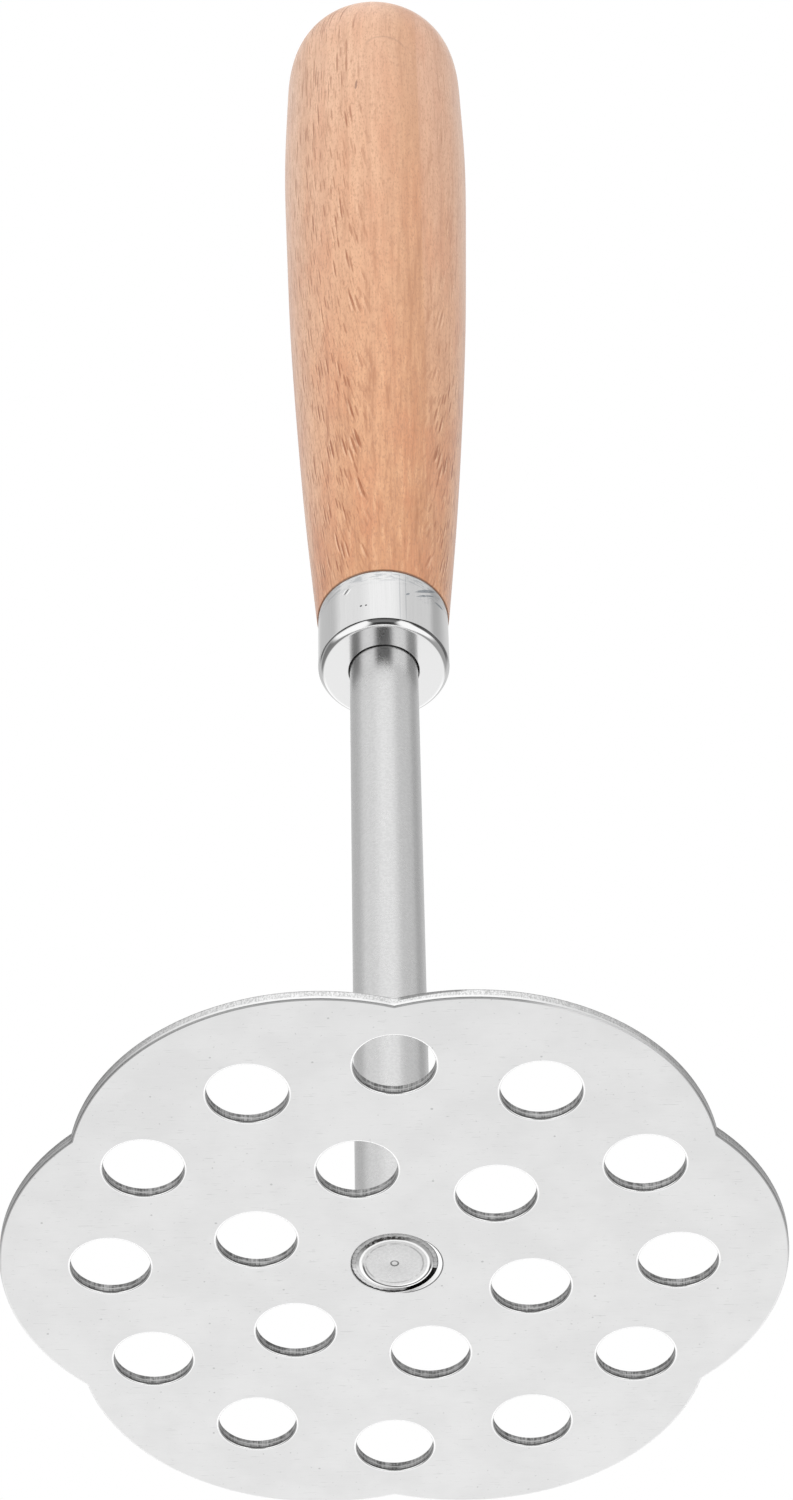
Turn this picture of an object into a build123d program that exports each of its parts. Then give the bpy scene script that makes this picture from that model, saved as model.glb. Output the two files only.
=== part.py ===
from build123d import *
import os

# Potato masher standing on its mashing plate, handle up.
# The origin is the centre of the plate's mashing face and +Z runs up the handle.
# All lengths are in millimetres, all angles in degrees.

# Heights above the mashing face
overall_height = 276.4
grip_height = 241.3
ferrule_base_height = 113.9

# Mashing plate: six round lobes meeting in cusps, pierced by two rings of holes
plate_tip_radius = 50.0
plate_lobe_radius = 31.3
plate_thickness = 1.5
lobe_count = 6
hole_radius = 5.1
outer_ring_inset = 14.0
outer_hole_count = 12
inner_hole_count = 6
inner_ring_turn = 15.0

# Round bar
shaft_radius = 4.95
shaft_end_chamfer = 0.3
tang_length = 58.0
tang_chamfer = 1.0
centre_mark_radius = 0.45
centre_mark_depth = 0.35

# Weld round the bar's lower end
weld_gap = 0.6
weld_recess = 0.35
weld_open_angle = 55.0
weld_open_middle = 43.0
weld_leg = 1.6

# Drawn ferrule cup
ferrule_radius = 9.5
ferrule_length = 11.3
ferrule_wall = 0.8
ferrule_edge_radius = 0.7
ferrule_shaft_clearance = 0.25

# Turned handle
neck_overhang = 0.3
neck_edge_radius = 0.25
grip_radius = 14.75
tenon_clearance = 0.05
tenon_end_gap = 0.5
tenon_chamfer = 0.5
bore_end_gap = 1.5
glue_thickness = 0.2

# One overrun for every cut, and the angle of a whole turn
overrun = 2.0
full_turn = 360.0

# Shares of the way from neck to grip, in height and in radius, and the outline's slope at the neck
neck_slope_share = 0.075
flank_shares = [(0.2, 0.335), (0.4, 0.6), (0.6, 0.808), (0.8, 0.933)]

# Shares of the grip radius, and of the height from grip to crown, over the domed end
crown_shares = [(0.976, 0.45), (0.94, 0.68), (0.838, 0.818), (0.66, 0.904), (0.44, 0.96)]

ferrule_top_height = ferrule_base_height + ferrule_length
neck_radius = ferrule_radius + neck_overhang
tenon_radius = ferrule_radius - ferrule_wall - tenon_clearance
tenon_base_height = ferrule_base_height + ferrule_wall + tenon_end_gap
bore_radius = shaft_radius + glue_thickness
tang_end_height = ferrule_top_height + tang_length
bore_end_height = tang_end_height + bore_end_gap
lobe_centre_radius = plate_tip_radius - plate_lobe_radius
outer_ring_radius = plate_tip_radius - outer_ring_inset
inner_ring_radius = outer_ring_radius / 2
shaft_hole_radius = shaft_radius + weld_gap

os.makedirs("parts", exist_ok=True)


# Mashing plate: the lobes' discs joined, with a core disc that fills the middle
with BuildPart() as mashing_plate:
    with BuildSketch():
        Circle(lobe_centre_radius)
        with PolarLocations(lobe_centre_radius, lobe_count):
            Circle(plate_lobe_radius)
        with PolarLocations(outer_ring_radius, outer_hole_count):
            Circle(hole_radius, mode=Mode.SUBTRACT)
        with PolarLocations(inner_ring_radius, inner_hole_count, start_angle=inner_ring_turn):
            Circle(hole_radius, mode=Mode.SUBTRACT)
        Circle(shaft_hole_radius, mode=Mode.SUBTRACT)
    extrude(amount=plate_thickness)
mashing_plate.part.label = "mashing_plate"
export_step(mashing_plate.part, "parts/mashing_plate.step")


# Shaft: the bar from the mashing face to the end of its tang, with the lathe's centre mark
with BuildPart() as shaft:
    with BuildSketch():
        Circle(shaft_radius)
    extrude(amount=tang_end_height)
    chamfer(shaft.edges().sort_by(Axis.Z)[0], length=shaft_end_chamfer)
    chamfer(shaft.edges().sort_by(Axis.Z)[-1], length=tang_chamfer)
    with BuildSketch(Plane.XZ):
        with BuildLine():
            Polyline((0, 0), (centre_mark_radius, 0), (0, centre_mark_depth), close=True)
        make_face()
    revolve(axis=Axis.Z, mode=Mode.SUBTRACT)
shaft.part.label = "shaft"
export_step(shaft.part, "parts/shaft.step")


# Weld: a hollow fillet all round the bar on the plate's upper face
with BuildPart() as weld:
    with BuildSketch(Plane.XZ):
        with BuildLine():
            root = (shaft_radius, plate_thickness)
            toe = (shaft_radius + weld_leg, plate_thickness)
            crest = (shaft_radius, plate_thickness + weld_leg)
            Line(root, toe)
            RadiusArc(toe, crest, 2 * weld_leg)
            Line(crest, root)
        make_face()
    revolve(axis=Axis.Z)
    # and a bead in the groove round the bar's end, left open over a short stretch
    weld_start_angle = weld_open_middle + weld_open_angle / 2
    with BuildSketch(Plane.XZ.rotated((0, 0, weld_start_angle))):
        with Locations((shaft_radius, weld_recess)):
            Rectangle(weld_gap, plate_thickness - weld_recess, align=(Align.MIN, Align.MIN))
    revolve(axis=Axis.Z, revolution_arc=full_turn - weld_open_angle)
weld.part.label = "weld"
export_step(weld.part, "parts/weld.step")


# Ferrule: a drawn cup with its mouth up
with BuildPart() as ferrule:
    with BuildSketch(Plane.XY.offset(ferrule_base_height)):
        Circle(ferrule_radius)
    extrude(amount=ferrule_length)
    fillet(ferrule.edges().sort_by(Axis.Z)[0], radius=ferrule_edge_radius)
    with BuildSketch(Plane.XY.offset(ferrule_base_height + ferrule_wall)):
        Circle(ferrule_radius - ferrule_wall)
    extrude(amount=ferrule_length, mode=Mode.SUBTRACT)
    with BuildSketch(Plane.XY.offset(ferrule_base_height - overrun)):
        Circle(shaft_radius + ferrule_shaft_clearance)
    extrude(amount=ferrule_wall + 2 * overrun, mode=Mode.SUBTRACT)
ferrule.part.label = "ferrule"
export_step(ferrule.part, "parts/ferrule.step")


# Handle: turned outline from the neck to the crown, with the tenon and the blind bore
def flank_point(height_share, radius_share):
    radius = neck_radius + radius_share * (grip_radius - neck_radius)
    height = ferrule_top_height + height_share * (grip_height - ferrule_top_height)
    return (radius, height)


def crown_point(radius_share, height_share):
    height = grip_height + height_share * (overall_height - grip_height)
    return (radius_share * grip_radius, height)


with BuildPart() as handle:
    with BuildSketch(Plane.XZ):
        with BuildLine():
            neck = (neck_radius, ferrule_top_height)
            grip = (grip_radius, grip_height)
            crown = (0, overall_height)
            flank_points = [flank_point(*share) for share in flank_shares]
            crown_points = [crown_point(*share) for share in crown_shares]
            outline = [neck, *flank_points, grip, *crown_points, crown]
            Spline(*outline, tangents=[(neck_slope_share, 1), (-1, 0)])
            Line(crown, (0, ferrule_top_height))
            Line((0, ferrule_top_height), neck)
        make_face()
    revolve(axis=Axis.Z)
    neck_edge = handle.edges().filter_by(GeomType.CIRCLE).sort_by(Axis.Z)[0]
    fillet(neck_edge, radius=neck_edge_radius)
    with BuildSketch(Plane.XY.offset(tenon_base_height)):
        Circle(tenon_radius)
    extrude(amount=ferrule_top_height - tenon_base_height)
    chamfer(handle.edges().sort_by(Axis.Z)[0], length=tenon_chamfer)
    with BuildSketch(Plane.XY.offset(tenon_base_height - overrun)):
        Circle(bore_radius)
    extrude(amount=bore_end_height - tenon_base_height + overrun, mode=Mode.SUBTRACT)
handle.part.label = "handle"
export_step(handle.part, "parts/handle.step")


# Adhesive: the sleeve of set glue between the tang and the bore
with BuildPart() as adhesive:
    with BuildSketch(Plane.XY.offset(tenon_base_height)):
        Circle(bore_radius)
        Circle(shaft_radius, mode=Mode.SUBTRACT)
    extrude(amount=tang_end_height - tang_chamfer - tenon_base_height)
adhesive.part.label = "adhesive"
export_step(adhesive.part, "parts/adhesive.step")
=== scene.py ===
import math

import bmesh
import bpy
import numpy as np
from bpy.props import FloatProperty, FloatVectorProperty, IntProperty, PointerProperty
from mathutils import Color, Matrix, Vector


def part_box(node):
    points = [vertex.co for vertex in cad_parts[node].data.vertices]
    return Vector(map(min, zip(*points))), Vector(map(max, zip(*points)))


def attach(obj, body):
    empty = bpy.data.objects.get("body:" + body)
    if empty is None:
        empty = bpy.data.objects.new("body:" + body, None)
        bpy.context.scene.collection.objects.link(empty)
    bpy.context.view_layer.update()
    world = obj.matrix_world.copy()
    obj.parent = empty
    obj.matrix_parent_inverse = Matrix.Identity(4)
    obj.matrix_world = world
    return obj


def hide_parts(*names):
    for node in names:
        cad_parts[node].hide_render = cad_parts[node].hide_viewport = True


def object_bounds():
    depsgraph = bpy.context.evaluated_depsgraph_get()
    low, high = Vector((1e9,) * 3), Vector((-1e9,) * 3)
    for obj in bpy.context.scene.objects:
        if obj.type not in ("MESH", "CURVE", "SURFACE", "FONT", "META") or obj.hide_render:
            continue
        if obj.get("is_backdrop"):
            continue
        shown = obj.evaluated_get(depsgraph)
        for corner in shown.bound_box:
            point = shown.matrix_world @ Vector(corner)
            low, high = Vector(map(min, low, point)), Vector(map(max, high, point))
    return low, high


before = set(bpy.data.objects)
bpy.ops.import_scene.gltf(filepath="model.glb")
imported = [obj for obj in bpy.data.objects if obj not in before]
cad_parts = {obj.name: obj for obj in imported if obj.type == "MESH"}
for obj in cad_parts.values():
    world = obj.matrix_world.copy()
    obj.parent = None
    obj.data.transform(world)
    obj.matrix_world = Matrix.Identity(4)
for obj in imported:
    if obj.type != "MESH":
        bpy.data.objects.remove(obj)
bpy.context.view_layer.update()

bl_info = {
    "name": "Potato Masher",
    "version": (1, 0, 0),
    "blender": (4, 5, 0),
    "location": "3D View > Sidebar > Masher",
    "description": "Dresses a potato masher with a turned beech handle and a pierced steel plate",
    "category": "Object",
}

BODY = "root"
MM = 0.001
MERGE_DISTANCE = 0.01 * MM
HARD_EDGE_ANGLE = math.radians(40)
LATHE_SEGMENTS = 192
OUTLINE_STEPS = 480
HOLE_STEPS = 64
EDGE_ROWS = 10
COLLAR_STEPS = 96
COLLAR_RADIUS = 7.2 * MM

# Direction of the stretch of groove that the weld leaves open, in degrees
OPEN_MIDDLE = 43

# Numbers of the plate's finishes, which its faces keep in the attribute "zone". HOLLOW_LINE and GROOVE faces
# get painted shade
FLAT, HOLE_WALL, RIM, HOLLOW, HOLLOW_LINE, GROOVE = 0.0, 1.0, 2.0, 3.0, 4.0, 5.0

_, handle_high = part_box("handle")
ferrule_low, ferrule_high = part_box("ferrule")
_, bar_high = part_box("shaft")
plate_low, plate_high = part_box("mashing_plate")


def srgb(red, green, blue):
    """A colour given as on a screen, 0 to 255, as the linear colour that shaders use."""
    shares = [channel / 255 for channel in (red, green, blue)]
    return tuple(s / 12.92 if s <= 0.04045 else ((s + 0.055) / 1.055) ** 2.4 for s in shares)


def grey(level):
    return srgb(level, level, level)


def length(name, description, default):
    return FloatProperty(name=name, description=description, default=default, unit="LENGTH", precision=5)


def angle(name, description, degrees):
    return FloatProperty(name=name, description=description, default=math.radians(degrees), subtype="ANGLE")


def colour(name, description, default):
    return FloatVectorProperty(name=name, description=description, default=default, size=3,
                               min=0, max=1, subtype="COLOR")


class MasherHandleSettings(bpy.types.PropertyGroup):
    neck_radius: length("Neck Radius", "Radius of the handle where it meets the ferrule", 9.67 * MM)
    neck_height: length("Neck Height", "Height of the handle's lower end", ferrule_high.z)
    neck_edge: length("Neck Edge", "Rounding of the handle's lower edge", 0.36 * MM)
    grip_radius: length("Grip Radius", "Largest radius of the handle", 14.75 * MM)
    grip_height: length("Grip Height", "Height of the largest radius", 241.3 * MM)
    crown_height: length("Crown Height", "Height of the handle's domed end", handle_high.z)
    tenon_radius: length("Tenon Radius", "Radius of the tenon inside the ferrule", 8.65 * MM)
    tenon_chamfer: length("Tenon Chamfer", "Chamfer of the tenon's lower edge", 0.5 * MM)
    bore_radius: length("Bore Radius", "Radius of the blind bore for the bar", 5.15 * MM)
    bore_depth: length("Bore Depth", "Depth of the bore above the neck", 59.5 * MM)
    pale_wood: colour("Pale Wood", "Pinkish wood towards the crown", srgb(230, 182, 146))
    warm_wood: colour("Warm Wood", "More orange wood towards the neck", srgb(220, 162, 118))
    band: colour("Late Wood", "Darker bands of the growth rings", srgb(192, 135, 98))
    fleck: colour("Fleck", "Short dark ray flecks", srgb(158, 88, 38))
    ring_width: length("Ring Width", "Width of one growth ring", 3.1 * MM)
    fleck_length: length("Fleck Spacing", "Spacing of the ray flecks along the grain", 6.5 * MM)


class MasherFerruleSettings(bpy.types.PropertyGroup):
    radius: length("Radius", "Outer radius of the ferrule", ferrule_high.x)
    base_height: length("Base Height", "Height of the ferrule's face", ferrule_low.z)
    mouth_height: length("Mouth Height", "Height of the ferrule's open end", ferrule_high.z)
    wall: length("Wall", "Thickness of the drawn sheet", 0.8 * MM)
    edge_round: length("Edge Round", "Tighter rounding next to the face", 0.8 * MM)
    shoulder_round: length("Shoulder Round", "Wider rounding next to the wall", 1.9 * MM)
    shoulder_start: angle("Shoulder Start", "Slope at which the rounding leaves the wall", 18)
    shoulder_end: angle("Shoulder End", "Slope at which the tighter rounding takes over", 48)
    mouth_round: length("Mouth Round", "Rounding of the open end", 0.12 * MM)
    bore_radius: length("Bore Radius", "Radius of the hole for the bar", 5.12 * MM)
    bore_round: length("Bore Round", "Rounding of the hole's edge", 0.1 * MM)
    metal: colour("Metal", "Polished plating", grey(236))


class MasherBarSettings(bpy.types.PropertyGroup):
    radius: length("Radius", "Radius of the round bar", bar_high.x)
    end_height: length("End Height", "Height of the tang's end inside the handle", bar_high.z)
    foot_chamfer: length("Foot Chamfer", "Chamfer of the bar's lower end", 0.45 * MM)
    tang_chamfer: length("Tang Chamfer", "Chamfer of the tang's end", 1.0 * MM)
    mark_radius: length("Mark Radius", "Radius of the lathe's centre mark", 0.45 * MM)
    mark_depth: length("Mark Depth", "Depth of the lathe's centre mark", 0.12 * MM)
    metal: colour("Metal", "Fine turned steel", grey(224))


class MasherPlateSettings(bpy.types.PropertyGroup):
    tip_radius: length("Tip Radius", "Distance from the centre to a lobe's tip", plate_high.x)
    lobe_radius: length("Lobe Radius", "Radius of one lobe's arc", 31.3 * MM)
    lobe_count: IntProperty(name="Lobes", description="Number of lobes", default=6, min=3)
    thickness: length("Thickness", "Thickness of the sheet", plate_high.z - plate_low.z)
    rim_round: length("Rim Round", "Rounding of the outline's edges", 0.15 * MM)
    rim_spread: FloatProperty(name="Rim Spread", description="How much wider than deep that rounding is",
                              default=1.7, min=1)
    hole_radius: length("Hole Radius", "Radius of a punched hole", 5.1 * MM)
    hole_round: length("Hole Round", "Rounding of a hole's edges", 0.16 * MM)
    hole_spread: FloatProperty(name="Hole Spread", description="How much wider than deep their rounding is",
                               default=1.6, min=1)
    outer_ring: length("Outer Ring", "Radius of the outer ring of holes", 36.0 * MM)
    outer_count: IntProperty(name="Outer Holes", description="Holes in the outer ring", default=12, min=1)
    inner_ring: length("Inner Ring", "Radius of the inner ring of holes", 18.0 * MM)
    inner_count: IntProperty(name="Inner Holes", description="Holes in the inner ring", default=6, min=1)
    inner_turn: angle("Inner Turn", "Turn of the inner ring against the outer one", 15)
    bar_gap: length("Bar Gap", "Gap between the bar and the hole it stands in", 0.6 * MM)
    metal: colour("Metal", "Satin steel sheet", grey(234))


class MasherWeldSettings(bpy.types.PropertyGroup):
    bead_crest: length("Bead Crest", "Height of the bead in the groove above the mashing face", 0.12 * MM)
    bead_width: length("Bead Width", "Width of the bead in the groove", 0.84 * MM)
    open_angle: angle("Open Angle", "Stretch of the groove that the bead leaves open", 55)
    open_middle: angle("Open Middle", "Direction of the open stretch", OPEN_MIDDLE)
    fillet_leg: length("Fillet Leg", "Leg of the fillet on the upper face", 1.6 * MM)
    metal: colour("Metal", "Weld metal", grey(196))


class MasherStageSettings(bpy.types.PropertyGroup):
    camera_place: FloatVectorProperty(name="Camera Place", description="Where the camera stands", size=3,
                                      default=(-0.0049905, -0.4506190, -0.4016852), subtype="XYZ",
                                      unit="LENGTH", precision=5)
    camera_turn: FloatVectorProperty(name="Camera Turn", description="Euler angles of the camera", size=3,
                                     default=[math.radians(a) for a in (137.9008, 0.78671, 0.03603)],
                                     subtype="EULER")
    camera_lens: FloatProperty(name="Camera Lens", description="Focal length on a 36 mm wide sensor",
                               default=113.69, unit="CAMERA")
    floor_radius: length("Floor Radius", "Radius of the pale floor", 6.0)
    plain_light: FloatProperty(name="Plain Light", description="Light that reaches the object all round",
                               default=0.84, min=0)


def both_sides(operation):
    """Overloads of one operator, for a Value on its left side and for one on its right side."""
    def from_left(self, other):
        return self.maker.math(operation, self, other)

    def from_right(self, other):
        return self.maker.math(operation, other, self)

    return from_left, from_right


class Value:
    """One output of a node tree. Arithmetic on it adds Math nodes, so that formulas read as formulas."""

    def __init__(self, maker, socket):
        self.maker = maker
        self.socket = socket

    def math(self, operation, *others):
        return self.maker.math(operation, self, *others)

    __add__, __radd__ = both_sides("ADD")
    __sub__, __rsub__ = both_sides("SUBTRACT")
    __mul__, __rmul__ = both_sides("MULTIPLY")
    __truediv__, __rtruediv__ = both_sides("DIVIDE")
    __pow__, __rpow__ = both_sides("POWER")

    def __neg__(self):
        return self.math("MULTIPLY", -1)

    def __abs__(self):
        return self.math("ABSOLUTE")

    def step(self, start, end):
        """0 at start and before, 1 at end and beyond, smooth between them. Start may be the larger one."""
        ends = {"From Min": start, "From Max": end, "Value": self}
        return self.maker.node("ShaderNodeMapRange", ends, {"interpolation_type": "SMOOTHSTEP"})

    def band(self, start, full, fading, end):
        """Grows from 0 at start to 1 at full, and goes back from 1 at fading to 0 at end."""
        return self.step(start, full) * self.step(end, fading)


class NodeMaker:
    """Adds nodes to one tree."""

    def __init__(self, tree):
        self.tree = tree

    def node(self, kind, inputs=None, settings=None, output=0):
        """A node of that kind: its settings are set first, then its sockets get values or links."""
        node = self.tree.nodes.new(kind)
        for name, setting in (settings or {}).items():
            setattr(node, name, setting)
        for key, given in (inputs or {}).items():
            socket = node.inputs[key]
            for item in given if isinstance(given, list) else [given]:
                if isinstance(item, Value):
                    self.tree.links.new(item.socket, socket)
                elif isinstance(item, (tuple, Color)) and len(item) < len(socket.default_value):
                    socket.default_value = (*item, 1)
                else:
                    socket.default_value = item
        return Value(self, node.outputs[output]) if node.outputs else None

    def math(self, operation, *terms):
        return self.node("ShaderNodeMath", dict(enumerate(terms)), {"operation": operation})

    def vector(self, x, y, z):
        return self.node("ShaderNodeCombineXYZ", {0: x, 1: y, 2: z})

    def axes(self, vector):
        split = self.node("ShaderNodeSeparateXYZ", {0: vector})
        return [Value(self, socket) for socket in split.socket.node.outputs]

    def noise(self, x, y, z, detail=2.0, roughness=0.5):
        inputs = {"Vector": self.vector(x, y, z), "Scale": 1.0, "Detail": detail, "Roughness": roughness}
        return self.node("ShaderNodeTexNoise", inputs)

    def scatter(self, x, y):
        """The distance to the nearest of many scattered points, and two random shares of that point."""
        inputs = {"Vector": self.vector(x, y, 0.0), "Scale": 1.0}
        distance = self.node("ShaderNodeTexVoronoi", inputs, {"voronoi_dimensions": "2D"})
        first, second, _ = self.axes(Value(self, distance.socket.node.outputs["Color"]))
        return distance, first, second

    def mix(self, factor, first, second):
        """Two colours mixed by a factor."""
        return self.node("ShaderNodeMix", {0: factor, 6: first, 7: second}, {"data_type": "RGBA"}, 2)

    def paint(self, under, coats):
        """A colour with coats over it. Each coat is how much of it shows, and its own colour."""
        for cover, coat in coats:
            under = self.mix(cover, under, coat)
        return under

    def blend(self, factor, first, second):
        return self.node("ShaderNodeMix", {0: factor, 2: first, 3: second}, {"data_type": "FLOAT"})


def own_nodes(holder):
    """A node maker for the tree of a material or a world, which starts empty."""
    holder.use_nodes = True
    holder.node_tree.nodes.clear()
    return NodeMaker(holder.node_tree)


def start_material(name):
    """A new material, its node maker, and the object's coordinates in millimetres."""
    material = bpy.data.materials.new(name)
    make = own_nodes(material)
    place = make.node("ShaderNodeTexCoord", output="Object")
    return material, make, [axis * (1 / MM) for axis in make.axes(place)]


def end_material(make, inputs):
    """The shader at the end of a material, with its sockets' values and links."""
    surface = make.node("ShaderNodeBsdfPrincipled", inputs)
    make.node("ShaderNodeOutputMaterial", {"Surface": surface})


def bump(make, height, distance):
    """A normal from heights of 0 to 1, where 1 stands that many millimetres proud."""
    return make.node("ShaderNodeBump", {"Height": height, "Distance": distance * MM})


def stroke(u, v, centre, half_length, half_width, lean):
    """1 inside a short stroke on a surface, 0 outside it. Lean is in degrees, clockwise from upright."""
    sideways = u - centre[0]
    upwards = v - centre[1]
    sine, cosine = math.sin(math.radians(lean)), math.cos(math.radians(lean))
    along = (upwards * cosine + sideways * sine) / half_length
    aside = (sideways * cosine - upwards * sine) / half_width
    return (along * along + aside * aside).step(1.0, 0.4)


def from_axis(x, y):
    """Distance from the axis that the masher's pieces share."""
    return (x * x + y * y) ** 0.5


def towards_front(x, y, reach):
    """About 1 in front and a little to the left, falling to about -1 on the far side."""
    return (x * -0.3 - y * 0.95) / reach


def from_opening(x, y):
    """Degrees away from the middle of the weld's open stretch, to either side."""
    return abs(y.math("ARCTAN2", x) * math.degrees(1) - OPEN_MIDDLE)


def beech_material(settings):
    material, make, (x, y, z) = start_material("Lacquered Beech")
    pith_distance = 60.0
    pith_turn = math.radians(194)
    slant_at_neck, slant_at_crown = 0.055, 0.015
    crown_stretch = 0.22

    # Directions in the log: out from the pith, round it, and along the grain
    sway = make.noise(x / 30, y / 30, z / 110, 1.0) * 1.6 - 0.8
    across = x * math.cos(pith_turn) + y * math.sin(pith_turn)
    around = y * math.cos(pith_turn) - x * math.sin(pith_turn)
    outward = ((pith_distance - across) ** 2 + around ** 2) ** 0.5 + sway
    reach = (x * x + y * y + 1) ** 0.5
    end_on = abs(across) / reach

    # Growth rings darken towards their outer edge, and one of them is wider and more orange
    waver = make.noise(outward / 6, around / 40, z / 150, 1.0)
    rings = outward / (settings.ring_width / MM) + waver * 1.1
    late = rings.math("FRACT").band(0.3, 0.93, 0.95, 1.0)
    late = late * (0.35 + make.noise(outward / 5, around / 60, z / 60, 1.0))
    wide_ring = outward.band(60.5, 64.7, 65.1, 65.4)
    beyond = outward.band(65.1, 65.5, 68, 76)

    # Ray flecks: thin upright sheets that run out from the pith, seen end on as short dashes
    fleck_length = settings.fleck_length / MM
    neck = settings.neck_height / MM
    rise = z - neck
    full_rise = settings.crown_height / MM - neck
    half_curl = (slant_at_neck - slant_at_crown) / (2 * full_rise)
    wobble = make.noise(x / 5, y / 5, z / 22) * 0.38
    slanted = around + rise * (slant_at_neck - rise * half_curl) + wobble
    stretched = z - rise * rise * (crown_stretch / full_rise)
    crowd = make.noise(x / 9, y / 9, z / 22)
    quiet = x.step(0.0, 6.0) * z.step(165, 200)

    def rays(shift, width, rows, share):
        """One crowd of dashes. Share is how many of the places for them are taken."""
        centre, chance, depth = make.scatter(slanted / width + shift, stretched * (rows / fleck_length))
        least = 1.3 - share
        shown = (chance + crowd * 0.6).step(least - 0.06, least + 0.06) * (0.35 + 0.65 * depth)
        return centre.step(0.12 + depth * 0.16, 0.06 + depth * 0.12) * shown

    seen_end_on = end_on.step(0.2, 0.65)
    fleck = rays(0.0, 0.5, 0.68, 0.68) + rays(7.3, 0.42, 1.1, 0.62) * 0.8 + rays(3.1, 0.34, 0.8, 0.9) * 0.5
    fleck = fleck * (0.1 + 0.9 * seen_end_on) * (1 - 0.7 * quiet)
    # Painted highlight: pale glints beside the first crowd of dashes, where they are seen end on
    painted_pore_glint = rays(0.36, 0.5, 0.68, 0.68) * seen_end_on
    flakes = make.noise(outward / 1.6, around / 0.7, z / 0.7, 1.0)
    flakes = flakes.step(0.52, 0.75) * end_on.step(0.5, 0.15)

    # One deep dash, and the small arch of a ring that the domed end cuts
    dash_centre, arch_centre = (-3.0, 242.5), (1.85, 253.3)
    in_front = y.step(-5, -8)
    deep_dash = stroke(x, z, dash_centre, 1.5, 0.22, 4) * in_front
    arch_reach = ((x - arch_centre[0]) ** 2 + (z - arch_centre[1]) ** 2) ** 0.5
    arch = arch_reach.band(2.9, 3.3, 3.4, 3.7) * z.step(253.5, 255) * in_front

    # Fine fibres, streaks, pores and broad tone. Streaks and tone are stronger towards the neck
    fibre = make.noise(outward / 0.25, around / 0.25, z / 5, 3.0, 0.65)
    streak = make.noise(x / 0.75, y / 0.75, z / 15, 3.0, 0.7)
    pores = make.noise(x / 0.24, y / 0.24, z / 0.8, 2.0, 0.6)
    tone = make.noise(x / 5, y / 5, z / 24, 3.0, 0.6)
    height_share = z.step(120, 262)
    figure = 1.0 - height_share * 0.6
    side = x / reach
    # Painted light and shade: the left side is painted paler and its edge palest, like a rim light, and the
    # right side is painted deeper where the light falls off
    painted_light_left = x.step(-5, -10) * (1.0 - height_share)
    painted_rim_light_left = side.step(-0.72, -0.95) * (0.2 + 0.2 * height_share)
    painted_shade_right = x.step(-1.5, 5) * side.step(0.92, 0.66) * (0.38 + 0.07 * height_share)
    wood = make.paint(make.mix(height_share, settings.warm_wood, settings.pale_wood), [
        (late * 0.32, settings.band),
        (painted_light_left * 0.4, srgb(236, 186, 152)),
        (painted_rim_light_left, srgb(240, 204, 178)),
        (painted_shade_right, srgb(202, 146, 102)),
        (z.step(neck + 22, neck + 4) * 0.5, srgb(202, 142, 98)),
        (wide_ring * (0.45 - 0.15 * height_share), srgb(192, 130, 86)),
        (beyond * height_share * 0.35, srgb(226, 178, 154)),
        (tone.step(0.42, 0.66) * figure * 0.65, srgb(210, 138, 96)),
        (streak.step(0.5, 0.72) * figure * 0.6, srgb(238, 186, 142)),
        (streak.step(0.5, 0.28) * figure * 0.95, srgb(180, 118, 76)),
        (flakes * 0.25, settings.band),
        (painted_pore_glint * (0.6 - height_share * 0.25), srgb(248, 204, 166)),
        (fibre.step(0.58, 0.3) * 0.4, settings.band),
        (pores.step(0.52, 0.3) * 0.6, srgb(180, 124, 88)),
        (fleck.math("MINIMUM", 1.0) * (1.0 - height_share * 0.15), settings.fleck),
        (deep_dash * 0.8 + arch * 0.25, srgb(136, 84, 58)),
        # Painted shade under the neck's rounded edge, and deeper painted shade on the tenon inside the
        # ferrule
        (z.step(neck + 0.3, neck + 0.1) * 0.75, srgb(88, 64, 52)),
        (z.step(neck - 0.3, neck - 1.5) * 0.9, srgb(50, 46, 44)),
    ])
    relief = bump(make, fibre * 0.3 - fleck, 0.012)
    end_material(make, {
        "Base Color": wood, "Roughness": 0.42 + fibre * 0.12, "Normal": relief,
        "Coat Weight": 0.8, "Coat Roughness": 0.26, "IOR": 1.45,
    })
    return material


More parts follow.
